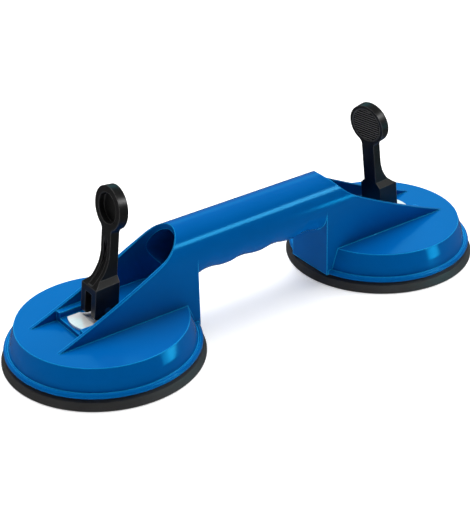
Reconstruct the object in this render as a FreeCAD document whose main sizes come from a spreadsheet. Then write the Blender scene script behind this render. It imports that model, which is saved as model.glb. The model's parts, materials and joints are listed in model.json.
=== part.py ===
import FreeCAD, Part
import math
import os

import Sketcher

# Twin suction lifter: one moulded blue housing with a tubular grip between two round caps, and under
# each cap a rubber pad that a snap-over lever pulls up to make the vacuum.
#
# Frame: X runs along the grip, Z is up, the pads stand on z = 0 and the origin is midway between them.
# "Out" means along X away from the grip, measured from a cup's own axis.

DOCUMENT = FreeCAD.newDocument("twin_suction_lifter")

SIZES = [
    # overall
    ("cup_spacing", 205.0),
    ("grip_axis", 50.2),
    ("grip_radius", 17.2),
    ("grip_bore", 13.6),
    # cap, from its flange up to the flat top
    ("flange_radius", 57.2),
    ("flange_under", 6.3),
    ("bead_radius", 1.6),
    ("valley_radius", 54.4),
    ("valley_height", 8.9),
    ("band_radius", 52.6),
    ("band_height", 15.4),
    ("top_radius", 50.2),
    ("cap_top", 22.4),
    ("cap_wall", 2.6),
    # tower under the grip's end
    ("tower_inner", 55.6),
    ("tower_reach", 40.0),
    ("tower_under", 6.5),
    # slope that cuts the tower down to its two ribs: steep start, then a long shallow run
    ("crest_out", -47.6),
    ("crest_height", 67.4),
    ("knee_out", -33.6),
    ("knee_height", 54.4),
    ("rib_tip_out", 38.0),
    ("knee_curve", 46.0),
    ("rib_curve", 620.0),
    # well between the ribs
    ("well_half_width", 15.1),
    ("well_end_out", -33.5),
    ("well_floor", 29.0),
    ("step_out", 20.7),
    ("recess_half_width", 11.2),
    ("recess_floor", 25.3),
    ("recess_inner_out", -11.0),
    ("relief_floor", 22.9),
    ("relief_inner_out", -6.4),
    ("relief_outer_out", 9.6),
    ("relief_half_width", 8.9),
    # finger grooves under the grip
    ("groove_pitch", 23.4),
    ("groove_depth", 1.35),
    ("groove_crest", 0.3),
    ("groove_fade", 1.5),
    ("groove_curve", 28.0),
    # inside of the cap
    ("boss_radius", 8.0),
    ("boss_under", 12.5),
    ("web_thickness", 2.0),
    ("web_under", 12.5),
    ("web_count", 8.0),
    # rubber pad
    ("pad_radius", 59.0),
    ("pad_edge", 1.0),
    ("lip_radius", 57.4),
    ("lip_height", 4.7),
    ("lip_top_radius", 56.4),
    ("lip_top", 5.0),
    ("seat_radius", 54.6),
    ("seat_inner", 47.0),
    ("disc_radius", 45.0),
    ("disc_height", 4.4),
    ("dish_radius", 49.0),
    ("ring_inner", 51.0),
    ("dish_depth", 0.6),
    # steel disc moulded into the pad
    ("insert_radius", 28.0),
    ("insert_under", 2.6),
    ("insert_hub", 6.0),
    ("insert_hub_top", 7.0),
    # stem, pin and wear plate
    ("stem_radius", 2.6),
    ("eye_radius", 4.3),
    ("eye_width", 6.0),
    ("pin_height", 32.0),
    ("pin_radius", 2.0),
    ("pin_recess", 0.6),
    ("stem_gap", 0.25),
    ("pin_gap", 0.06),
    ("plate_top", 26.7),
    ("plate_thickness", 1.4),
    ("plate_radius", 19.4),
    ("plate_inner", 10.4),
    ("plate_half_width", 8.6),
    ("trough_out", 1.9),
    ("trough_half_length", 7.6),
    ("trough_curve", 15.6),
    # lever, in its own frame: origin on the pin, z along the arm, x towards the outer face
    ("lever_lean", 7.0),
    ("block_outer", 8.5),
    ("block_inner", 6.9),
    ("block_half_width", 7.75),
    ("block_clearance", 3.8),
    ("shoulder_height", 16.5),
    ("shoulder_tilt", 9.8),
    ("cam_radius", 1.8),
    ("arm_half_width", 4.75),
    ("arm_outer", -1.2),
    ("arm_top", 51.0),
    ("flare_top", 34.0),
    ("flare_curve", 25.2),
    ("head_height", 59.6),
    ("head_radius", 12.9),
    ("neck_curve", 4.0),
    ("cup_radius", 9.0),
    ("cup_depth", 3.6),
    ("grip_pad_radius", 10.9),
    ("grip_pad_depth", 0.8),
    ("channel_half_width", 2.1),
    ("channel_depth", 2.2),
    ("channel_top", 42.0),
    ("channel_curve", 30.2),
    ("channel_inset", 1.5),
    ("channel_rise", 0.5),
    ("slot_half_width", 3.4),
    ("slot_inner", 4.9),
    ("slot_top", 10.0),
    # how far the second lever stands turned about its stem
    ("right_swivel", 9.0),
    # gap round the steel disc where it is moulded in
    ("insert_gap", 0.3),
    # how far a cutting sketch runs past the solid it cuts, and how far a joined piece sinks in
    ("past", 5.0),
    ("sunk", 1.0),
]


class Size:
    """A length that knows both its value and the spreadsheet expression that gives it."""

    def __init__(self, value, text):
        self.value = value
        self.text = text

    def __add__(self, other):
        other = as_size(other)
        return Size(self.value + other.value, f"({self.text} + {other.text})")

    def __sub__(self, other):
        other = as_size(other)
        return Size(self.value - other.value, f"({self.text} - {other.text})")

    def __mul__(self, factor):
        return Size(self.value * factor, f"({self.text} * {factor})")

    def __neg__(self):
        return Size(-self.value, f"(-1 * {self.text})")


def as_size(thing):
    if isinstance(thing, Size):
        return thing
    return Size(float(thing), f"{float(thing)}")


def make_sheet():
    sheet = DOCUMENT.addObject("Spreadsheet::Sheet", "sizes")
    for row, (alias, value) in enumerate(SIZES, start=1):
        sheet.set(f"A{row}", alias)
        sheet.set(f"B{row}", str(value))
        sheet.setAlias(f"B{row}", alias)
    DOCUMENT.recompute()
    return {alias: Size(value, f"sizes.{alias}") for alias, value in SIZES}


S = make_sheet()
HALF_SPACING = S["cup_spacing"] * 0.5


def bind(thing, prop, size):
    thing.setExpression(prop, size.text)


def new_body(label):
    body = DOCUMENT.addObject("PartDesign::Body", label)
    body.Label = label
    return body


def plane_of(body, role):
    return next(item for item in body.Origin.OriginFeatures if item.Role == role)


def new_sketch(body, role, name, offset=None):
    """A sketch on one of the body's own origin planes, moved along the plane's normal by offset."""
    sketch = body.newObject("Sketcher::SketchObject", name)
    sketch.AttachmentSupport = [(plane_of(body, role), "")]
    sketch.MapMode = "FlatFace"
    if offset is not None:
        bind(sketch, "AttachmentOffset.Base.z", offset)
    return sketch


def hold_point(sketch, shape, end, x, y):
    """Places one point of a sketch shape at (x, y) from the sketch's origin."""
    for kind, axis, size in (("DistanceX", -2, as_size(x)), ("DistanceY", -1, as_size(y))):
        if abs(size.value) < 1e-9:
            sketch.addConstraint(Sketcher.Constraint("PointOnObject", shape, end, axis))
            continue
        points = (-1, 1, shape, end) if size.value > 0 else (shape, end, -1, 1)
        length = size if size.value > 0 else -size
        number = sketch.addConstraint(Sketcher.Constraint(kind, *points, length.value))
        sketch.setExpression(f"Constraints[{number}]", length.text)


def arc_between(start, end, radius, turn):
    """The arc from start to end that bends left (turn 1) or right (turn -1), at most a half turn."""
    chord = end - start
    across = FreeCAD.Vector(-chord.y, chord.x, 0).normalize()
    rise = math.sqrt(max(radius**2 - (chord.Length / 2) ** 2, 0.0))
    centre = start + chord * 0.5 + across * (rise * turn)
    first, last = (start, end) if turn > 0 else (end, start)
    angles = [math.atan2(point.y - centre.y, point.x - centre.x) for point in (first, last)]
    circle = Part.Circle(centre, FreeCAD.Vector(0, 0, 1), radius)
    return Part.ArcOfCircle(circle, *angles)


def outline(sketch, corners):
    """A closed outline. A corner is (x, y), or (x, y, radius, turn) where an arc leaves it."""
    points = [FreeCAD.Vector(as_size(c[0]).value, as_size(c[1]).value, 0) for c in corners]
    ends = []
    for number, corner in enumerate(corners):
        start, end = points[number], points[(number + 1) % len(points)]
        if len(corner) == 2:
            shape = sketch.addGeometry(Part.LineSegment(start, end))
            ends.append((shape, 1, 2))
            continue
        radius, turn = as_size(corner[2]), corner[3]
        shape = sketch.addGeometry(arc_between(start, end, radius.value, turn))
        held = sketch.addConstraint(Sketcher.Constraint("Radius", shape, radius.value))
        sketch.setExpression(f"Constraints[{held}]", radius.text)
        ends.append((shape, 1, 2) if turn > 0 else (shape, 2, 1))
    for number, corner in enumerate(corners):
        shape, first, _ = ends[number]
        before, _, last = ends[number - 1]
        sketch.addConstraint(Sketcher.Constraint("Coincident", before, last, shape, first))
        hold_point(sketch, shape, first, corner[0], corner[1])


def circle(sketch, x, y, radius):
    centre = FreeCAD.Vector(as_size(x).value, as_size(y).value, 0)
    shape = sketch.addGeometry(Part.Circle(centre, FreeCAD.Vector(0, 0, 1), radius.value))
    held = sketch.addConstraint(Sketcher.Constraint("Radius", shape, radius.value))
    sketch.setExpression(f"Constraints[{held}]", radius.text)
    hold_point(sketch, shape, 3, x, y)


def axis_line(sketch, corners):
    """A construction line through two points, which becomes the sketch's Axis0."""
    points = [FreeCAD.Vector(as_size(x).value, as_size(y).value, 0) for x, y in corners]
    shape = sketch.addGeometry(Part.LineSegment(*points), True)
    for end, (x, y) in enumerate(corners, start=1):
        hold_point(sketch, shape, end, x, y)


def rectangle(sketch, low_x, low_y, high_x, high_y):
    outline(sketch, [(low_x, low_y), (high_x, low_y), (high_x, high_y), (low_x, high_y)])


def extrude(body, kind, name, sketch, length, symmetric=False, backwards=False):
    """A Pad or Pocket of a sketch. A Pocket runs against the sketch's normal unless backwards is set."""
    feature = body.newObject(f"PartDesign::{kind}", name)
    feature.Profile = sketch
    bind(feature, "Length", as_size(length))
    feature.SideType = "Symmetric" if symmetric else "One side"
    feature.Reversed = backwards
    return feature


def turn_about_axis(body, kind, name, sketch):
    feature = body.newObject(f"PartDesign::{kind}", name)
    feature.Profile = sketch
    feature.ReferenceAxis = (sketch, ["Axis0"])
    feature.Angle = 360
    return feature


def round_edges(body, name, radius, wanted):
    """Rounds the edges of the body so far for which wanted(edge) is true."""
    DOCUMENT.recompute()
    base = body.Tip
    edges = [f"Edge{n}" for n, edge in enumerate(base.Shape.Edges, start=1) if wanted(edge)]
    fillet = body.newObject("PartDesign::Fillet", name)
    fillet.Base = (base, edges)
    bind(fillet, "Radius", radius)
    return fillet


def place(body, x, y, z, rotation=None):
    for letter, size in (("x", x), ("y", y), ("z", z)):
        bind(body, f"Placement.Base.{letter}", as_size(size))
    if rotation is not None:
        body.Placement.Rotation = rotation


# ---- housing: half of it as features, then mirrored across the middle of the grip ----


def out(size):
    """A distance out from the cup's axis, as a sketch X on the right-hand side."""
    return HALF_SPACING + as_size(size)


def cap_body(body):
    sketch = new_sketch(body, "XZ_Plane", "cap_profile")
    axis_line(sketch, [(HALF_SPACING, 0), (HALF_SPACING, S["cap_top"])])
    bead_out = out(S["flange_radius"] - S["bead_radius"])
    bead_middle = S["flange_under"] + S["bead_radius"]
    outline(
        sketch,
        [
            (HALF_SPACING, S["flange_under"]),
            (bead_out, S["flange_under"], S["bead_radius"], 1),
            (out(S["flange_radius"]), bead_middle, S["bead_radius"], 1),
            (bead_out, bead_middle + S["bead_radius"]),
            (out(S["valley_radius"]), S["valley_height"]),
            (out(S["band_radius"]), S["band_height"]),
            (out(S["top_radius"]), S["cap_top"]),
            (HALF_SPACING, S["cap_top"]),
        ],
    )
    turn_about_axis(body, "Revolution", "cap", sketch)


def round_topped(sketch, half_width, bottom, centre_height):
    """A section with upright sides and a half-round top, drawn across the grip."""
    outline(
        sketch,
        [
            (-half_width, bottom),
            (half_width, bottom),
            (half_width, centre_height, half_width, 1),
            (0, centre_height + half_width, half_width, 1),
            (-half_width, centre_height),
        ],
    )


def tower(body):
    start = HALF_SPACING - S["tower_inner"]
    section = new_sketch(body, "YZ_Plane", "tower_section", start)
    round_topped(section, S["grip_radius"], S["tower_under"], S["grip_axis"])
    extrude(body, "Pad", "tower", section, S["tower_inner"] + S["tower_reach"])
    tube = new_sketch(body, "YZ_Plane", "grip_section")
    circle(tube, 0, S["grip_axis"], S["grip_radius"])
    extrude(body, "Pad", "grip", tube, start)


def slope(body):
    """Cuts everything above the line that falls from the grip's crest to the rib tips."""
    sketch = new_sketch(body, "XZ_Plane", "slope_line")
    above = S["grip_axis"] + S["grip_radius"] + S["past"]
    beyond = out(S["tower_reach"] + S["past"])
    outline(
        sketch,
        [
            (out(S["crest_out"]), above),
            (out(S["crest_out"]), S["crest_height"], S["knee_curve"], 1),
            (out(S["knee_out"]), S["knee_height"], S["rib_curve"], 1),
            (out(S["rib_tip_out"]), S["cap_top"]),
            (beyond, S["cap_top"]),
            (beyond, above),
        ],
    )
    extrude(body, "Pocket", "slope", sketch, S["grip_radius"] * 3, symmetric=True)


def well(body):
    """The space between the ribs, its step down to the cap, and the recess for the wear plate."""
    high = S["grip_axis"] + S["grip_radius"] + S["past"]
    plan = new_sketch(body, "XY_Plane", "well_plan", S["well_floor"])
    width = S["well_half_width"]
    end = out(S["well_end_out"])
    beyond = out(S["tower_reach"] + S["past"])
    outline(
        plan,
        [
            (end, -width),
            (beyond, -width),
            (beyond, width),
            (end, width, width, 1),
            (end - width, 0, width, 1),
        ],
    )
    extrude(body, "Pocket", "well", plan, high, backwards=True)
    pockets = (
        ("step", S["cap_top"], width, S["step_out"], S["tower_reach"] + S["past"]),
        ("recess", S["recess_floor"], S["recess_half_width"], S["recess_inner_out"], S["step_out"] + S["sunk"]),
        ("relief", S["relief_floor"], S["relief_half_width"], S["relief_inner_out"], S["relief_outer_out"]),
    )
    for name, floor, half_width, low, far in pockets:
        sketch = new_sketch(body, "XY_Plane", f"{name}_plan", floor)
        rectangle(sketch, out(low), -half_width, out(far), half_width)
        extrude(body, "Pocket", name, sketch, high, backwards=True)


def bore(body):
    """The tunnel through the grip, from one well to the other."""
    sketch = new_sketch(body, "YZ_Plane", "bore_section")
    circle(sketch, 0, S["grip_axis"], S["grip_bore"])
    extrude(body, "Pocket", "bore", sketch, out(S["well_end_out"]) * 2, symmetric=True)


def finger_grooves(body):
    """Four shallow waves under the grip. They turn about a line above its axis, so they fade at its sides."""
    sketch = new_sketch(body, "XZ_Plane", "groove_line")
    turn_height = S["grip_axis"] + S["groove_fade"]
    axis_line(sketch, [(-S["groove_pitch"], turn_height), (S["groove_pitch"], turn_height)])
    outside = S["grip_axis"] - S["grip_radius"]
    crest = outside + S["groove_crest"]
    valley = outside + S["groove_depth"]
    middle = (crest + valley) * 0.5
    low = outside - S["past"]
    quarter = S["groove_pitch"] * 0.25
    wave = S["groove_curve"]
    end = quarter * 8
    corners = [(-end, low), (-end, outside, wave, 1)]
    for groove in (-3, -1, 1, 3):
        corners += [
            (quarter * (2 * groove - 1), middle, wave, -1),
            (quarter * (2 * groove), valley, wave, -1),
            (quarter * (2 * groove + 1), middle, wave, 1),
            (quarter * (2 * groove + 2), crest, wave, 1),
        ]
    corners[-1] = (end, outside)
    corners.append((end, low))
    outline(sketch, corners)
    turn_about_axis(body, "Groove", "finger_grooves", sketch)


def hollow(body):
    """The open underside of the cap and of the tower, with a boss for the stem and eight webs."""
    sketch = new_sketch(body, "XZ_Plane", "hollow_profile")
    wall = S["cap_wall"]
    below = S["flange_under"] - S["sunk"]
    axis_line(sketch, [(HALF_SPACING, 0), (HALF_SPACING, S["cap_top"])])
    outline(
        sketch,
        [
            (HALF_SPACING, below),
            (out(S["valley_radius"] - wall), below),
            (out(S["valley_radius"] - wall), S["valley_height"]),
            (out(S["band_radius"] - wall), S["band_height"]),
            (out(S["top_radius"] - wall), S["cap_top"] - wall),
            (HALF_SPACING, S["cap_top"] - wall),
        ],
    )
    turn_about_axis(body, "Groove", "hollow", sketch)
    under = new_sketch(body, "XY_Plane", "tower_hollow_plan", below)
    half = S["grip_radius"] - wall
    rectangle(under, out(-S["tower_inner"] + wall), -half, out(S["recess_inner_out"] - wall), half)
    extrude(body, "Pocket", "tower_hollow", under, S["well_floor"] - wall - below, backwards=True)
    disc = new_sketch(body, "XY_Plane", "boss_plan", S["boss_under"])
    circle(disc, HALF_SPACING, 0, S["boss_radius"])
    ceiling = S["cap_top"] - wall + S["sunk"]
    extrude(body, "Pad", "boss", disc, ceiling - S["boss_under"])
    web = new_sketch(body, "XY_Plane", "web_plan", S["web_under"])
    half_web = S["web_thickness"] * 0.5
    rectangle(web, out(S["boss_radius"] - S["sunk"]), -half_web, out(S["top_radius"] - wall), half_web)
    first = extrude(body, "Pad", "web", web, ceiling - S["web_under"])
    rest = body.newObject("PartDesign::PolarPattern", "webs")
    axis = new_sketch(body, "XZ_Plane", "web_axis")
    axis_line(axis, [(HALF_SPACING, 0), (HALF_SPACING, S["cap_top"])])
    rest.Originals = [first]
    rest.Axis = (axis, ["Axis0"])
    rest.Angle = 360
    bind(rest, "Occurrences", S["web_count"])
    body.Tip = rest
    hole = new_sketch(body, "XY_Plane", "stem_hole_plan")
    circle(hole, HALF_SPACING, 0, S["stem_radius"] + S["stem_gap"])
    extrude(body, "Pocket", "stem_hole", hole, S["cap_top"] * 2, backwards=True)


def flat_inner_side(body):
    """The flange stops at the tower's inner wall, so the pad shows there."""
    sketch = new_sketch(body, "XZ_Plane", "inner_flat_line")
    inner = HALF_SPACING - S["tower_inner"]
    rectangle(sketch, inner - S["past"], S["flange_under"] - S["sunk"], inner, S["cap_top"])
    extrude(body, "Pocket", "inner_flat", sketch, S["flange_radius"] * 2, symmetric=True)


def housing():
    body = new_body("housing")
    cap_body(body)
    tower(body)
    flat_inner_side(body)
    slope(body)
    well(body)
    hollow(body)
    DOCUMENT.recompute()
    both = body.newObject("PartDesign::Mirrored", "both_sides")
    both.TransformMode = "Whole shape"
    both.MirrorPlane = (plane_of(body, "YZ_Plane"), [""])
    body.Tip = both
    bore(body)
    finger_grooves(body)
    return body


# ---- one cup's own pieces, each drawn about the cup's axis with x pointing out ----


def suction_pad(side):
    body = new_body(f"{side}_suction_pad")
    sketch = new_sketch(body, "XZ_Plane", f"{side}_pad_profile")
    axis_line(sketch, [(0, 0), (0, S["disc_height"])])
    flange = S["flange_under"]
    outline(
        sketch,
        [
            (0, S["dish_depth"]),
            (S["dish_radius"], S["dish_depth"]),
            (S["ring_inner"], 0),
            (S["pad_radius"], 0),
            (S["pad_radius"], S["pad_edge"]),
            (S["lip_radius"], S["lip_height"]),
            (S["lip_top_radius"], S["lip_top"]),
            (S["seat_radius"], flange),
            (S["seat_inner"], flange),
            (S["disc_radius"], S["disc_height"]),
            (S["insert_radius"] + S["insert_gap"], S["disc_height"]),
            (S["insert_radius"] + S["insert_gap"], S["insert_under"]),
            (0, S["insert_under"]),
        ],
    )
    turn_about_axis(body, "Revolution", f"{side}_pad", sketch)
    return body


def pad_insert(side):
    body = new_body(f"{side}_pad_insert")
    sketch = new_sketch(body, "XZ_Plane", f"{side}_insert_profile")
    axis_line(sketch, [(0, 0), (0, S["insert_hub_top"])])
    outline(
        sketch,
        [
            (0, S["insert_under"]),
            (S["insert_radius"], S["insert_under"]),
            (S["insert_radius"], S["disc_height"]),
            (S["insert_hub"], S["disc_height"]),
            (S["insert_hub"], S["insert_hub_top"]),
            (S["stem_radius"], S["insert_hub_top"]),
            (S["stem_radius"], S["disc_height"]),
            (0, S["disc_height"]),
        ],
    )
    turn_about_axis(body, "Revolution", f"{side}_insert", sketch)
    return body


def pull_stem(side):
    """A round steel stem with a flat eye for the lever's pin."""
    body = new_body(f"{side}_pull_stem")
    plan = new_sketch(body, "XY_Plane", f"{side}_stem_plan", S["disc_height"])
    circle(plan, 0, 0, S["stem_radius"])
    extrude(body, "Pad", f"{side}_stem", plan, S["pin_height"] - S["disc_height"])
    eye = new_sketch(body, "XZ_Plane", f"{side}_eye_line")
    circle(eye, 0, S["pin_height"], S["eye_radius"])
    extrude(body, "Pad", f"{side}_eye", eye, S["eye_width"], symmetric=True)
    hole = new_sketch(body, "XZ_Plane", f"{side}_eye_hole_line")
    circle(hole, 0, S["pin_height"], S["pin_radius"] + S["pin_gap"])
    extrude(body, "Pocket", f"{side}_eye_hole", hole, S["eye_width"] * 2, symmetric=True)
    return body


def wear_plate(side):
    """Pressed steel plate under the lever's cam, with a shallow trough that the cam's corner rolls through."""
    body = new_body(f"{side}_wear_plate")
    sketch = new_sketch(body, "XZ_Plane", f"{side}_plate_line")
    top, low = S["plate_top"], S["plate_top"] - S["plate_thickness"]
    left, right = S["trough_out"] - S["trough_half_length"], S["trough_out"] + S["trough_half_length"]
    outline(
        sketch,
        [
            (-S["plate_inner"], low),
            (left, low, S["trough_curve"], 1),
            (right, low),
            (S["plate_radius"], low),
            (S["plate_radius"], top),
            (right, top, S["trough_curve"], -1),
            (left, top),
            (-S["plate_inner"], top),
        ],
    )
    extrude(body, "Pad", f"{side}_plate", sketch, S["plate_half_width"] * 2, symmetric=True)
    ends = new_sketch(body, "XY_Plane", f"{side}_plate_ends")
    circle(ends, 0, 0, S["plate_radius"])
    circle(ends, 0, 0, S["plate_radius"] * 2)
    extrude(body, "Pocket", f"{side}_plate_round", ends, S["plate_top"] * 2, backwards=True)
    hole = new_sketch(body, "XY_Plane", f"{side}_plate_hole")
    circle(hole, 0, 0, S["stem_radius"] + S["stem_gap"])
    extrude(body, "Pocket", f"{side}_plate_bore", hole, S["plate_top"] * 2, backwards=True)
    return body


def flare_foot():
    """Height at which the tilted shoulders reach the block's outer face, where the flare starts."""
    tilt = math.radians(S["shoulder_tilt"].value)
    across = S["block_outer"] + S["block_inner"] + S["sunk"]
    value = S["shoulder_height"].value / math.cos(tilt) - across.value * math.tan(tilt)
    tilt_text = "(sizes.shoulder_tilt * 1deg)"
    text = f"(sizes.shoulder_height / cos{tilt_text} - {across.text} * tan{tilt_text})"
    return Size(value, text)


def lever_block_and_arm(body, side):
    """Side view of the lever: a block round the pin whose outer side flares up into the arm."""
    lean = math.radians(S["lever_lean"].value)
    lean_text = "sizes.lever_lean"
    outer, inner = S["block_outer"], S["block_inner"]

    def underside(x):
        """Height of the block's flat underside, which lies level when the lever leans."""
        value = -(S["block_clearance"].value / math.cos(lean)) - x.value * math.tan(lean)
        text = f"(-1 * sizes.block_clearance / cos({lean_text} * 1deg) - {x.text} * tan({lean_text} * 1deg))"
        return Size(value, text)

    sketch = new_sketch(body, "XZ_Plane", f"{side}_lever_line")
    outline(
        sketch,
        [
            (-inner, underside(-inner)),
            (outer, underside(outer)),
            (outer, flare_foot(), S["flare_curve"], -1),
            (S["arm_outer"], S["flare_top"]),
            (S["arm_outer"], S["arm_top"]),
            (-inner, S["arm_top"]),
        ],
    )
    extrude(body, "Pad", f"{side}_lever_blank", sketch, S["block_half_width"] * 2, symmetric=True)


def lever_shoulders(body, side):
    """Narrows the blank to the arm, with a slope down to each side of the block.

    The cut runs outwards and a little downwards, so the shoulders stand higher on the inner side.
    """
    across = new_sketch(body, "YZ_Plane", f"{side}_shoulder_line", -S["block_inner"] - S["sunk"])
    across.AttachmentOffset = FreeCAD.Placement(
        across.AttachmentOffset.Base,
        FreeCAD.Rotation(FreeCAD.Vector(1, 0, 0), S["shoulder_tilt"].value),
    )
    bind(across, "AttachmentOffset.Rotation.Angle", S["shoulder_tilt"])
    narrow, wide = S["arm_half_width"], S["block_half_width"]
    foot = S["shoulder_height"]
    top = S["head_height"]
    for hand in (1, -1):
        corners = [
            (narrow * hand, top),
            (narrow * hand, foot + wide - narrow),
            (wide * hand, foot),
            ((wide + S["past"]) * hand, foot),
            ((wide + S["past"]) * hand, top),
        ]
        outline(across, corners)
    extrude(body, "Pocket", f"{side}_shoulders", across, S["head_height"], symmetric=True)


def lever_head(body, side):
    """Round head, with a finger recess outside and a shallow seat for the ribbed thumb pad inside."""
    disc = new_sketch(body, "YZ_Plane", f"{side}_head_line", -S["block_inner"])
    circle(disc, 0, S["head_height"], S["head_radius"])
    extrude(body, "Pad", f"{side}_head", disc, S["block_inner"] + S["arm_outer"])
    half_width = S["arm_half_width"].value
    joint_height = S["head_height"].value - math.sqrt(S["head_radius"].value ** 2 - half_width**2)

    def neck_corner(edge):
        middle = edge.BoundBox.Center
        along_x = edge.BoundBox.YLength < 0.1 and edge.BoundBox.ZLength < 0.1
        return along_x and abs(abs(middle.y) - half_width) < 0.1 and abs(middle.z - joint_height) < 0.1

    round_edges(body, f"{side}_neck", S["neck_curve"], neck_corner)
    recess = new_sketch(body, "YZ_Plane", f"{side}_head_cup_line", S["arm_outer"] - S["cup_depth"])
    circle(recess, 0, S["head_height"], S["cup_radius"])
    extrude(body, "Pocket", f"{side}_head_cup", recess, S["cup_depth"] + S["past"], backwards=True)
    seat = new_sketch(body, "YZ_Plane", f"{side}_thumb_seat_line", S["grip_pad_depth"] - S["block_inner"])
    circle(seat, 0, S["head_height"], S["grip_pad_radius"])
    extrude(body, "Pocket", f"{side}_thumb_seat", seat, S["grip_pad_depth"] + S["past"])


def lever_channel(body, side):
    """Channel between the two flanges on the arm's outer face. It fades out below the head."""
    sketch = new_sketch(body, "XZ_Plane", f"{side}_channel_line")
    deep = S["arm_outer"] - S["channel_depth"]
    foot = flare_foot() + S["channel_rise"]
    beyond = S["block_outer"] + S["sunk"]
    outline(
        sketch,
        [
            (beyond, foot),
            (S["block_outer"] - S["channel_inset"], foot, S["channel_curve"], -1),
            (deep, S["flare_top"]),
            (S["arm_outer"], S["channel_top"]),
            (beyond, S["channel_top"]),
        ],
    )
    extrude(body, "Pocket", f"{side}_channel", sketch, S["channel_half_width"] * 2, symmetric=True)


def lever_slot(body, side):
    """Slot for the stem, open below and on the outer face, and the cross hole for the pin."""
    sketch = new_sketch(body, "XZ_Plane", f"{side}_slot_line")
    low = -(S["block_clearance"] * 2)
    rectangle(sketch, -S["slot_inner"], low, S["block_outer"] + S["sunk"], S["slot_top"])
    extrude(body, "Pocket", f"{side}_slot", sketch, S["slot_half_width"] * 2, symmetric=True)
    hole = new_sketch(body, "XZ_Plane", f"{side}_pin_hole_line")
    circle(hole, 0, 0, S["pin_radius"])
    extrude(body, "Pocket", f"{side}_pin_hole", hole, S["block_half_width"] * 3, symmetric=True)


def lever(side):
    body = new_body(f"{side}_lever")
    lever_block_and_arm(body, side)
    lever_shoulders(body, side)
    outer = S["block_outer"].value

    def cam_corner(edge):
        box = edge.BoundBox
        across = box.YLength > S["block_half_width"].value and box.XLength < 0.1 and box.ZLength < 0.1
        return across and box.ZMax < 0 and box.XMin > outer - 0.1

    round_edges(body, f"{side}_cam_round", S["cam_radius"], cam_corner)
    lever_head(body, side)
    lever_channel(body, side)
    lever_slot(body, side)
    return body


def lever_pin(side):
    """The pin's ends stand a little below the block's sides."""
    pin = DOCUMENT.addObject("Part::Cylinder", f"{side}_lever_pin")
    pin.Label = f"{side}_lever_pin"
    bind(pin, "Radius", S["pin_radius"])
    bind(pin, "Height", (S["block_half_width"] - S["pin_recess"]) * 2)
    return pin


def cup_pieces(side, sign, swivel):
    """One cup's pieces in place. The left cup is the right one turned half way about Z."""
    facing = FreeCAD.Rotation(FreeCAD.Vector(0, 0, 1), 0 if sign > 0 else 180)
    turned = FreeCAD.Rotation(FreeCAD.Vector(0, 0, 1), swivel) * facing
    leaning = turned * FreeCAD.Rotation(FreeCAD.Vector(0, 1, 0), -S["lever_lean"].value)
    centre = HALF_SPACING * sign
    fixed = [suction_pad(side), wear_plate(side)]
    turning = [pad_insert(side), pull_stem(side)]
    for body in fixed:
        place(body, centre, 0, 0, facing)
    for body in turning:
        place(body, centre, 0, 0, turned)
    handle = lever(side)
    place(handle, centre, 0, S["pin_height"], leaning)
    pin = lever_pin(side)
    along = turned.multVec(FreeCAD.Vector(0, 1, 0))
    half_pin = S["block_half_width"] - S["pin_recess"]
    end = FreeCAD.Vector(centre.value, 0, S["pin_height"].value) - along * half_pin.value
    pin.Placement = FreeCAD.Placement(end, FreeCAD.Rotation(FreeCAD.Vector(0, 0, 1), along))
    return fixed + turning + [handle, pin]


def check(pieces):
    broken = [item.Name for item in DOCUMENT.Objects if {"Invalid", "Error"} & set(item.State)]
    if broken:
        raise RuntimeError(f"these objects failed to build: {broken}")
    for piece in pieces:
        if piece.Shape.isNull() or not piece.Shape.isValid():
            raise RuntimeError(f"{piece.Label} has no valid shape")


def main():
    pieces = [housing()]
    pieces += cup_pieces("left", -1, 0.0)
    pieces += cup_pieces("right", 1, S["right_swivel"].value)
    DOCUMENT.recompute()
    check(pieces)
    os.makedirs("parts", exist_ok=True)
    for piece in pieces:
        piece.Shape.exportStep(f"parts/{piece.Label}.step")
        print(f"{piece.Label}: {len(piece.Shape.Solids)} solid, {piece.Shape.Volume:.0f} mm3")


main()
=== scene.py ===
"""Looks of the double suction cup lifter: rubber pads, ribbed thumb pads, materials, light and camera."""

import json
import math

import bmesh
import bpy
from mathutils import Matrix, Vector


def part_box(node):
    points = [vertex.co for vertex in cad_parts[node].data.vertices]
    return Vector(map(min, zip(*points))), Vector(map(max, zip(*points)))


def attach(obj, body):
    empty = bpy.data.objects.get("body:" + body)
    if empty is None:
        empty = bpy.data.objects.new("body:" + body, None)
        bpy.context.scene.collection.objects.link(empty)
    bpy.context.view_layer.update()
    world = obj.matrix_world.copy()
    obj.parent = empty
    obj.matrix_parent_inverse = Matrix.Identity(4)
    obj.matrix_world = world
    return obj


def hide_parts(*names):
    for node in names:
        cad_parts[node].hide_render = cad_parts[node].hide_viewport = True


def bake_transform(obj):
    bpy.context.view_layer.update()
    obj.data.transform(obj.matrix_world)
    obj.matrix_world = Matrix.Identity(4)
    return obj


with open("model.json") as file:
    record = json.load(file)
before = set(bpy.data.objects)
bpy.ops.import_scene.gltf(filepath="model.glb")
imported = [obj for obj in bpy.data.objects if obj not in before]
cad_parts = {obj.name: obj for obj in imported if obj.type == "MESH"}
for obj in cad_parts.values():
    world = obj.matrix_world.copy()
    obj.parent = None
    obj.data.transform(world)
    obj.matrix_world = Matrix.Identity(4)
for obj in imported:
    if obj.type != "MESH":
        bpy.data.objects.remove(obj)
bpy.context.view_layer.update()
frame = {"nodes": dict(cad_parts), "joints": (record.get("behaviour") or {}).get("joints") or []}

SIDES = ("left", "right")
JOINTS = {joint["name"]: joint for joint in frame["joints"]}
MM = 0.001

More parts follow.
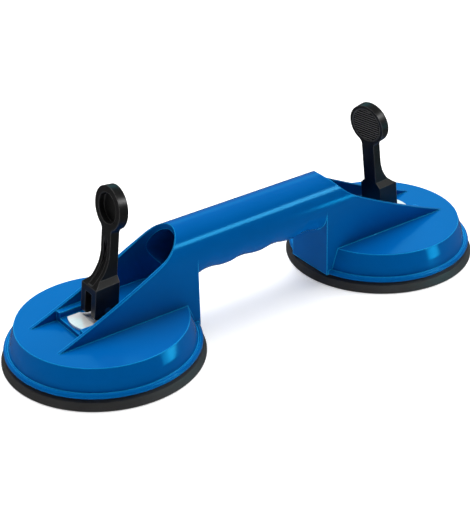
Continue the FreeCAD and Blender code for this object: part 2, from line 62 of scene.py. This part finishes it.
# camera, looking at a point just inside the grip; directions are azimuth and elevation in degrees,
# azimuth 0 being the front
CAMERA_FROM = (-34.82, 29.32)
ROLL = math.radians(-1.44)
DISTANCE = 0.893
TARGET = Vector((-0.0095, 0.0, 0.0308))
LENS = 104.75
NEAR_CLIP = 0.01

# light: a broad soft sun, and cards seen only in glossy surfaces
WORLD_LIGHT = 0.1
CANOPY_LIGHT = 4.9
CANOPY_SPREAD = math.radians(70)
CANOPY_FROM = (140, 66)
MIDDLE = Vector((0, 0, 0.03))
OPEN_BEAM = 180
NARROW_BEAM = 40
WHITE = (1, 1, 1)
COOL = (0.08, 0.85, 1.0)

# floor and backdrop
FLOOR_HEIGHT = -0.0002
FLOOR_HALF = 6.0
FLOOR_CELLS = 8
DOME_RADIUS = 5.8
DOME_SEGMENTS = 48
DOME_RINGS = 24

# rounding of the rubber pads' edges
RUBBER_ROUND = 0.35 * MM
ROUND_STEPS = 3
SHARP_ANGLE = math.radians(24)
NORMAL_WEIGHT = 80

# rounding of edges in the shader, and the painted highlight along them: cosine between the rounded and the
# flat normal where the painted highlight starts and where it is full
ROUND_SAMPLES = 6
EDGE_START = 0.998
EDGE_FULL = 0.92

# noise: layers of detail, their roughness, and the values between which it is spread out
CLOUD_DETAIL = 3.0
GRAIN_DETAIL = 5.0
NOISE_ROUGHNESS = 0.55
NOISE_LOW = 0.3
NOISE_HIGH = 0.7

# sockets of the colour mix node, which share their names with its other data types
MIX_SHARE = 0
MIX_START = 6
MIX_END = 7
MIX_RESULT = 2

# Each finish: two colours that it clouds between, lowest and highest roughness, cloud and grain in
# features per metre, depth of the grain, radius of rounded edges, the colour of the painted highlight along
# edges, and other shader sockets. Some also have a colour for a painted highlight on the crests of ribs, or
# a stretch of the noise.
FINISHES = {
    "blue_plastic": {
        "colours": ((0.0, 0.094, 0.342), (0.0, 0.104, 0.376)),
        "rough": (0.1, 0.15),
        "clouds": 14,
        "grain": 2600,
        "depth": 0.004 * MM,
        "edge": 1.1 * MM,
        "edge_highlight": (0.012, 0.35, 0.78),
        "sockets": {"Specular IOR Level": 0.4, "Specular Tint": (0.02, 0.6, 1.0, 1.0)},
    },
    "black_plastic": {
        "colours": ((0.004, 0.004, 0.0042), (0.008, 0.008, 0.0082)),
        "rough": (0.28, 0.38),
        "clouds": 60,
        "grain": 3200,
        "depth": 0.015 * MM,
        "edge": 0.7 * MM,
        "edge_highlight": (0.09, 0.09, 0.09),
        "sockets": {"Specular IOR Level": 0.42},
    },
    "thumb_pad": {
        "colours": ((0.002, 0.002, 0.0022), (0.004, 0.004, 0.0042)),
        "rough": (0.3, 0.4),
        "clouds": 60,
        "grain": 3200,
        "depth": 0.01 * MM,
        "edge": 0.05 * MM,
        "edge_highlight": (0.06, 0.06, 0.06),
        "crest": (0.15, 0.15, 0.15),
        "sockets": {"Specular IOR Level": 0.12},
    },
    "pad_rubber": {
        "colours": ((0.028, 0.028, 0.0285), (0.04, 0.04, 0.0405)),
        "rough": (0.55, 0.7),
        "clouds": 40,
        "grain": 1800,
        "depth": 0.04 * MM,
        "edge": 0.35 * MM,
        "edge_highlight": (0.05, 0.05, 0.05),
        "sockets": {},
    },
    "bright_steel": {
        "colours": ((0.86, 0.86, 0.85), (0.93, 0.93, 0.92)),
        "rough": (0.12, 0.22),
        "clouds": 120,
        "grain": 900,
        "depth": 0.004 * MM,
        "edge": 0.25 * MM,
        "edge_highlight": (0.85, 0.85, 0.85),
        "stretch": (1, 6, 1),
        "sockets": {"Metallic": 0.35},
    },
    "plain_steel": {
        "colours": ((0.16, 0.16, 0.165), (0.22, 0.22, 0.22)),
        "rough": (0.35, 0.5),
        "clouds": 150,
        "grain": 1500,
        "depth": 0.01 * MM,
        "edge": 0.25 * MM,
        "edge_highlight": (0.5, 0.5, 0.5),
        "sockets": {"Metallic": 1.0},
    },
    "floor": {
        "colours": ((0.88, 0.88, 0.88), (0.9, 0.9, 0.9)),
        "rough": (0.8, 0.9),
        "clouds": 2,
        "grain": 200,
        "depth": 0.01 * MM,
        "edge": 0.1 * MM,
        "edge_highlight": (0.89, 0.89, 0.89),
        "sockets": {
            "Specular IOR Level": 0.0,
            "Emission Color": (1.0, 1.0, 1.0, 1.0),
            "Emission Strength": 0.32,
        },
    },
}

# finish of each CAD node that is shown, by its name without its side
CARRIED = {
    "housing": "blue_plastic",
    "wear_plate": "bright_steel",
    "pad_insert": "plain_steel",
    "pull_stem": "plain_steel",
    "lever_pin": "plain_steel",
    "lever": "black_plastic",
}

# rubber pad, by radius and height about the cup's axis
PAD_SEGMENTS = 160
PAD_RADIUS = 59 * MM
PAD_EDGE = 1.0 * MM
LIP_RADIUS = 57.4 * MM
LIP_HEIGHT = 4.7 * MM
LIP_TOP_RADIUS = 56.4 * MM
LIP_TOP = 5.0 * MM
SEAT_RADIUS = 54.6 * MM
SEAT_INNER = 47 * MM
SEAT_HEIGHT = 6.2 * MM
DISC_RADIUS = 45 * MM
DISC_HEIGHT = 4.4 * MM
DISC_RING = 0.8
INSERT_RADIUS = 28.3 * MM
INSERT_UNDER = 2.6 * MM
DISH_RADIUS = 49 * MM
DISH_HEIGHT = 0.6 * MM
DISH_RINGS = (0, 0.25, 0.5, 0.75, 1)
RING_INNER = 51 * MM
SEAL_GROOVES = 3
SEAL_PITCH = 1.9 * MM
SEAL_START = 0.75
SEAL_WIDTH = 0.7 * MM
SEAL_DEPTH = 0.35 * MM

# thumb pad, in the lever's own frame: origin on the pin, z along the arm, x outwards
LEAN = math.radians(7)
HEAD_HEIGHT = 59.6 * MM
HEAD_INNER = -6.9 * MM
THUMB_RADIUS = 10.75 * MM
THUMB_SEAT = 0.8 * MM
RIB_ROWS = 14
RIB_HEIGHT = 0.5 * MM
RIB_FOOT = RIB_HEIGHT * 0.5
BEAD_INNER = 10.1 * MM
RIB_FADE = 0.3 * MM
# power of a point's height up its rib, which sets the painted highlight on the rib crests
CREST_POWER = 4
THUMB_CELLS = 128


# ---- meshes ----


def object_from(name, shape):
    """A new object with the built shape as its mesh."""
    mesh = bpy.data.meshes.new(name)
    shape.to_mesh(mesh)
    shape.free()
    piece = bpy.data.objects.new(name, mesh)
    bpy.context.scene.collection.objects.link(piece)
    return piece


def soften(piece, width):
    """Rounds a piece's sharp edges and shades the rest smooth."""
    piece.data.polygons.foreach_set("use_smooth", [True] * len(piece.data.polygons))
    bevel = piece.modifiers.new("rounding", "BEVEL")
    bevel.width = width
    bevel.segments = ROUND_STEPS
    bevel.limit_method = "ANGLE"
    bevel.angle_limit = SHARP_ANGLE
    bevel.harden_normals = True
    bevel.miter_outer = "MITER_ARC"
    bevel.use_clamp_overlap = True
    weighted = piece.modifiers.new("shading", "WEIGHTED_NORMAL")
    weighted.keep_sharp = True
    weighted.weight = NORMAL_WEIGHT


def applied(piece):
    """The piece with its modifiers made part of its mesh."""
    evaluated = piece.evaluated_get(bpy.context.evaluated_depsgraph_get())
    mesh = bpy.data.meshes.new_from_object(evaluated)
    piece.modifiers.clear()
    piece.data = mesh
    return piece


def lathe(name, profile, segments):
    """A closed ring of profile points (radius, height) turned about the Z axis."""
    shape = bmesh.new()
    rings = []
    for radius, height in profile:
        if radius == 0:
            rings.append([shape.verts.new((0, 0, height))])
            continue
        angles = [2 * math.pi * step / segments for step in range(segments)]
        rings.append([shape.verts.new((radius * math.cos(a), radius * math.sin(a), height)) for a in angles])
    for lower, upper in zip(rings, rings[1:]):
        for step in range(segments):
            after = (step + 1) % segments
            corners = [
                lower[step % len(lower)],
                lower[after % len(lower)],
                upper[after % len(upper)],
                upper[step % len(upper)],
            ]
            shape.faces.new(list(dict.fromkeys(corners)))
    bmesh.ops.recalc_face_normals(shape, faces=shape.faces)
    return object_from(name, shape)


# ---- rubber pads ----


def seal_profile():
    """Underside of the sealing ring: flat, with concentric grooves."""
    points = []
    for groove in range(SEAL_GROOVES):
        inner = RING_INNER + SEAL_PITCH * (groove + SEAL_START)
        outer = inner + SEAL_WIDTH
        points += [(inner, 0), (inner, SEAL_DEPTH), (outer, SEAL_DEPTH), (outer, 0)]
    return points


def pad_profile():
    """Section of the pad, from the middle of its underside out to the rim and back over its top."""
    return [
        *((DISH_RADIUS * ring, DISH_HEIGHT) for ring in DISH_RINGS),
        (RING_INNER, 0),
        *seal_profile(),
        (PAD_RADIUS, 0),
        (PAD_RADIUS, PAD_EDGE),
        (LIP_RADIUS, LIP_HEIGHT),
        (LIP_TOP_RADIUS, LIP_TOP),
        (SEAT_RADIUS, SEAT_HEIGHT),
        (SEAT_INNER, SEAT_HEIGHT),
        (DISC_RADIUS, DISC_HEIGHT),
        (DISC_RADIUS * DISC_RING, DISC_HEIGHT),
        (INSERT_RADIUS, DISC_HEIGHT),
        (INSERT_RADIUS, INSERT_UNDER),
        (0, INSERT_UNDER),
    ]


def rubber_pad(side, material):
    """A suction pad in place of the CAD one, turned about the cup's axis where the CAD pad stood."""
    low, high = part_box(f"{side}_suction_pad")
    axis = Vector(((low.x + high.x) / 2, (low.y + high.y) / 2, 0))
    pad = lathe(f"{side}_rubber_pad", pad_profile(), PAD_SEGMENTS)
    soften(pad, RUBBER_ROUND)
    applied(pad)
    pad.data.transform(Matrix.Translation(axis))
    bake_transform(pad)
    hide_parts(f"{side}_suction_pad")
    dress(pad, material)


# ---- thumb pads ----


def lever_frame(side):
    """The lever's own frame: origin on the pin, z along the arm, x outwards."""
    fold = JOINTS[f"{side}_lever_fold"]
    across = Vector(fold["axis"]).normalized()
    up = Vector((0, 0, 1))
    out = across.cross(up)
    leaning_out = out * math.cos(LEAN) + up * math.sin(LEAN)
    along = up * math.cos(LEAN) - out * math.sin(LEAN)
    turn = Matrix((leaning_out, across, along)).transposed().to_4x4()
    return Matrix.Translation(Vector(fold["pos_m"])) @ turn


def round_grid_point(u, v):
    """A point of a square grid from -1 to 1, moved so that the square becomes a disc."""
    return u * math.sqrt(1 - v * v / 2), v * math.sqrt(1 - u * u / 2)


def rib_rise(across, along):
    """Height of the straight ribs, and of the bead that runs round them at the pad's edge."""
    radius = math.hypot(across, along)
    if radius > BEAD_INNER:
        return RIB_HEIGHT * max(0.0, math.sin(math.pi * (radius - BEAD_INNER) / (THUMB_RADIUS - BEAD_INNER)))
    wave = 0.5 + 0.5 * math.cos(math.pi * RIB_ROWS * along / THUMB_RADIUS)
    return RIB_HEIGHT * wave * min(1.0, (BEAD_INNER - radius) / RIB_FADE)


def thumb_pad(side, material):
    """The ribbed disc set into the inner side of a lever's head."""
    shape = bmesh.new()
    seat = HEAD_INNER + THUMB_SEAT
    rows = []
    for row in range(THUMB_CELLS + 1):
        line = []
        for column in range(THUMB_CELLS + 1):
            u, v = (2 * column / THUMB_CELLS - 1, 2 * row / THUMB_CELLS - 1)
            across, along = (THUMB_RADIUS * value for value in round_grid_point(u, v))
            face = seat - RIB_FOOT - rib_rise(across, along)
            line.append(shape.verts.new((face, across, HEAD_HEIGHT + along)))
        rows.append(line)
    for lower, upper in zip(rows, rows[1:]):
        for column in range(THUMB_CELLS):
            shape.faces.new((lower[column], lower[column + 1], upper[column + 1], upper[column]))
    rim = [edge for edge in shape.edges if edge.is_boundary]
    skirt = bmesh.ops.extrude_edge_only(shape, edges=rim)["geom"]
    for vertex in skirt:
        if isinstance(vertex, bmesh.types.BMVert):
            vertex.co.x = seat
    bmesh.ops.holes_fill(shape, edges=[edge for edge in shape.edges if edge.is_boundary], sides=0)
    bmesh.ops.recalc_face_normals(shape, faces=shape.faces)
    pad = object_from(f"{side}_thumb_pad", shape)
    # each point's share of the painted highlight on the rib crests, from its height up the rib
    crest = pad.data.attributes.new("crest", "FLOAT", "POINT")
    rises = [(seat - RIB_FOOT - vertex.co.x) / RIB_HEIGHT for vertex in pad.data.vertices]
    crest.data.foreach_set("value", [min(1.0, max(0.0, rise)) ** CREST_POWER for rise in rises])
    pad.data.transform(lever_frame(side))
    pad.data.polygons.foreach_set("use_smooth", [True] * len(pad.data.polygons))
    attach(pad, f"{side}_handle")
    dress(pad, material)


# ---- materials ----


def dress(piece, material):
    """Gives a piece its material."""
    piece.data.materials.clear()
    piece.data.materials.append(material)


def noise(nodes, coordinates, scale, detail):
    """A noise of so many features per metre."""
    texture = nodes.new("ShaderNodeTexNoise")
    texture.inputs["Scale"].default_value = scale
    texture.inputs["Detail"].default_value = detail
    texture.inputs["Roughness"].default_value = NOISE_ROUGHNESS
    nodes.id_data.links.new(coordinates, texture.inputs["Vector"])
    return texture.outputs["Fac"]


def ranged(nodes, value, low, high):
    """The noise value, spread between low and high."""
    spread = nodes.new("ShaderNodeMapRange")
    spread.inputs["From Min"].default_value = NOISE_LOW
    spread.inputs["From Max"].default_value = NOISE_HIGH
    spread.inputs["To Min"].default_value = low
    spread.inputs["To Max"].default_value = high
    nodes.id_data.links.new(value, spread.inputs["Value"])
    return spread.outputs["Result"]


def mixed_colour(nodes, share, start, end):
    """The colour start, turning to end as share rises. start is a colour or a socket that gives one."""
    mix = nodes.new("ShaderNodeMix")
    mix.data_type = "RGBA"
    links = nodes.id_data.links
    links.new(share, mix.inputs[MIX_SHARE])
    if isinstance(start, tuple):
        mix.inputs[MIX_START].default_value = (*start, 1)
    else:
        links.new(start, mix.inputs[MIX_START])
    mix.inputs[MIX_END].default_value = (*end, 1)
    return mix.outputs[MIX_RESULT]


def crest_share(nodes):
    """How far up its rib a point is, as the mesh's attribute marks it: the share of painted highlight on the
    rib crests.
    """
    height = nodes.new("ShaderNodeAttribute")
    height.attribute_name = "crest"
    return height.outputs["Fac"]


def edge_share(nodes, rounded):
    """How far the rounded normal has left the flat one, from none on a flat face to full on an edge; it sets
    the painted highlight along edges.
    """
    flat = nodes.new("ShaderNodeNewGeometry")
    agree = nodes.new("ShaderNodeVectorMath")
    agree.operation = "DOT_PRODUCT"
    links = nodes.id_data.links
    links.new(rounded, agree.inputs[0])
    links.new(flat.outputs["Normal"], agree.inputs[1])
    share = nodes.new("ShaderNodeMapRange")
    share.inputs["From Min"].default_value = EDGE_START
    share.inputs["From Max"].default_value = EDGE_FULL
    links.new(agree.outputs["Value"], share.inputs["Value"])
    return share.outputs["Result"]


def surface(name, finish):
    """A material with faint clouds of colour, uneven roughness, a fine grain and a painted highlight along
    its edges.
    """
    material = bpy.data.materials.new(name)
    material.use_nodes = True
    nodes = material.node_tree.nodes
    links = material.node_tree.links
    shader = nodes["Principled BSDF"]
    place = nodes.new("ShaderNodeTexCoord")
    turn = nodes.new("ShaderNodeMapping")
    turn.inputs["Scale"].default_value = finish.get("stretch", (1, 1, 1))
    links.new(place.outputs["Object"], turn.inputs["Vector"])
    clouds = noise(nodes, turn.outputs["Vector"], finish["clouds"], CLOUD_DETAIL)
    grain = noise(nodes, turn.outputs["Vector"], finish["grain"], GRAIN_DETAIL)
    colour = mixed_colour(nodes, ranged(nodes, clouds, 0.0, 1.0), *finish["colours"])
    # rib crests painted lighter: a painted highlight
    if "crest" in finish:
        colour = mixed_colour(nodes, crest_share(nodes), colour, finish["crest"])
    rounded = nodes.new("ShaderNodeBevel")
    rounded.samples = ROUND_SAMPLES
    rounded.inputs["Radius"].default_value = finish["edge"]
    # edges painted lighter, by how far the rounded normal leaves the flat one: a painted highlight
    edge_highlight = mixed_colour(nodes, edge_share(nodes, rounded.outputs["Normal"]), colour, finish["edge_highlight"])
    links.new(edge_highlight, shader.inputs["Base Color"])
    links.new(ranged(nodes, clouds, *finish["rough"]), shader.inputs["Roughness"])
    bump = nodes.new("ShaderNodeBump")
    bump.inputs["Strength"].default_value = 1.0
    bump.inputs["Distance"].default_value = finish["depth"]
    links.new(grain, bump.inputs["Height"])
    links.new(rounded.outputs["Normal"], bump.inputs["Normal"])
    links.new(bump.outputs["Normal"], shader.inputs["Normal"])
    for socket, value in finish["sockets"].items():
        shader.inputs[socket].default_value = value
    return material


# ---- the studio ----


def floor(material):
    """A plain pale floor, which glossy surfaces don't reflect."""
    shape = bmesh.new()
    bmesh.ops.create_grid(shape, x_segments=FLOOR_CELLS, y_segments=FLOOR_CELLS, size=FLOOR_HALF)
    plane = object_from("floor", shape)
    plane.location.z = FLOOR_HEIGHT
    plane.visible_glossy = False
    plane.data.materials.append(material)


def backdrop():
    """A pale dome round everything, which only the camera sees, so that low views have a pale horizon."""
    shape = bmesh.new()
    bmesh.ops.create_uvsphere(shape, u_segments=DOME_SEGMENTS, v_segments=DOME_RINGS, radius=DOME_RADIUS)
    dome = object_from("backdrop", shape)
    material = bpy.data.materials.new("backdrop")
    material.use_nodes = True
    shader = material.node_tree.nodes["Principled BSDF"]
    shader.inputs["Base Color"].default_value = (0, 0, 0, 1)
    shader.inputs["Specular IOR Level"].default_value = 0.0
    shader.inputs["Emission Color"].default_value = (1, 1, 1, 1)
    shader.inputs["Emission Strength"].default_value = 1.0
    dome.data.materials.append(material)
    dome.visible_diffuse = False
    dome.visible_glossy = False
    dome.visible_transmission = False
    dome.visible_shadow = False


def direction(azimuth, elevation):
    """Unit vector towards an azimuth and elevation in degrees; azimuth 0 is the front, -Y."""
    turn, rise = math.radians(azimuth), math.radians(elevation)
    return Vector((math.sin(turn) * math.cos(rise), -math.cos(turn) * math.cos(rise), math.sin(rise)))


def canopy(towards):
    """A broad soft light from above, as even far away as it is near, which leaves no reflection."""
    light = bpy.data.lights.new("canopy", "SUN")
    light.energy = CANOPY_LIGHT
    light.angle = CANOPY_SPREAD
    lamp = bpy.data.objects.new("canopy", light)
    lamp.rotation_euler = towards.to_track_quat("Z", "Y").to_euler()
    lamp.visible_glossy = False
    bpy.context.scene.collection.objects.link(lamp)


def softbox(name, place, aim, width, height, power, beam, colour):
    """A rectangular reflector card, seen only in glossy surfaces. beam is its light's spread in degrees."""
    light = bpy.data.lights.new(name, "AREA")
    light.shape = "RECTANGLE"
    light.size = width
    light.size_y = height
    light.energy = power
    light.color = colour
    light.spread = math.radians(beam)
    lamp = bpy.data.objects.new(name, light)
    lamp.location = place
    lamp.rotation_euler = (Vector(aim) - Vector(place)).to_track_quat("-Z", "Y").to_euler()
    lamp.visible_camera = False
    lamp.visible_diffuse = False
    bpy.context.scene.collection.objects.link(lamp)


# name, place, the point it faces, width, height, power, beam and colour of each card
CARDS = (
    ("behind", MIDDLE + direction(148, 28) * 1.5, MIDDLE, 0.9, 0.42, 0.85, OPEN_BEAM, COOL),
    ("streak", MIDDLE + direction(41, 38) * 0.9, MIDDLE, 0.5, 0.17, 3.2, OPEN_BEAM, WHITE),
    ("low right", (0.277, -0.282, 0.03), (0.102, -0.051, 0.019), 0.1, 0.07, 0.012, NARROW_BEAM, COOL),
    ("low left", (0.035, -0.13, 0.011), (-0.087, -0.049, 0.019), 0.1, 0.018, 0.003, NARROW_BEAM, COOL),
)


def studio():
    """A faint even light from all round, the canopy and the cards."""
    world = bpy.data.worlds.new("studio")
    world.use_nodes = True
    surround = world.node_tree.nodes["Background"]
    surround.inputs["Color"].default_value = (1, 1, 1, 1)
    surround.inputs["Strength"].default_value = WORLD_LIGHT
    bpy.context.scene.world = world
    bpy.context.scene.view_settings.view_transform = "Standard"
    canopy(direction(*CANOPY_FROM))
    for card in CARDS:
        softbox(*card)


def camera():
    """The scene's camera, placed and turned as the constants above say."""
    back = direction(*CAMERA_FROM)
    right = (-back).cross(Vector((0, 0, 1))).normalized()
    up = right.cross(-back)
    rolled_right = right * math.cos(ROLL) + up * math.sin(ROLL)
    rolled_up = up * math.cos(ROLL) - right * math.sin(ROLL)
    turn = Matrix((rolled_right, rolled_up, back)).transposed().to_4x4()
    lens = bpy.data.cameras.new("camera")
    lens.lens = LENS
    lens.clip_start = NEAR_CLIP
    eye = bpy.data.objects.new("camera", lens)
    eye.matrix_world = Matrix.Translation(TARGET + back * DISTANCE) @ turn
    bpy.context.scene.collection.objects.link(eye)
    bpy.context.scene.camera = eye


materials = {name: surface(name.replace("_", " "), finish) for name, finish in FINISHES.items()}
for name, node in frame["nodes"].items():
    kind = name.removeprefix("left_").removeprefix("right_")
    if kind in CARRIED:
        dress(node, materials[CARRIED[kind]])
for side in SIDES:
    rubber_pad(side, materials["pad_rubber"])
    thumb_pad(side, materials["thumb_pad"])
floor(materials["floor"])
backdrop()
studio()
camera()
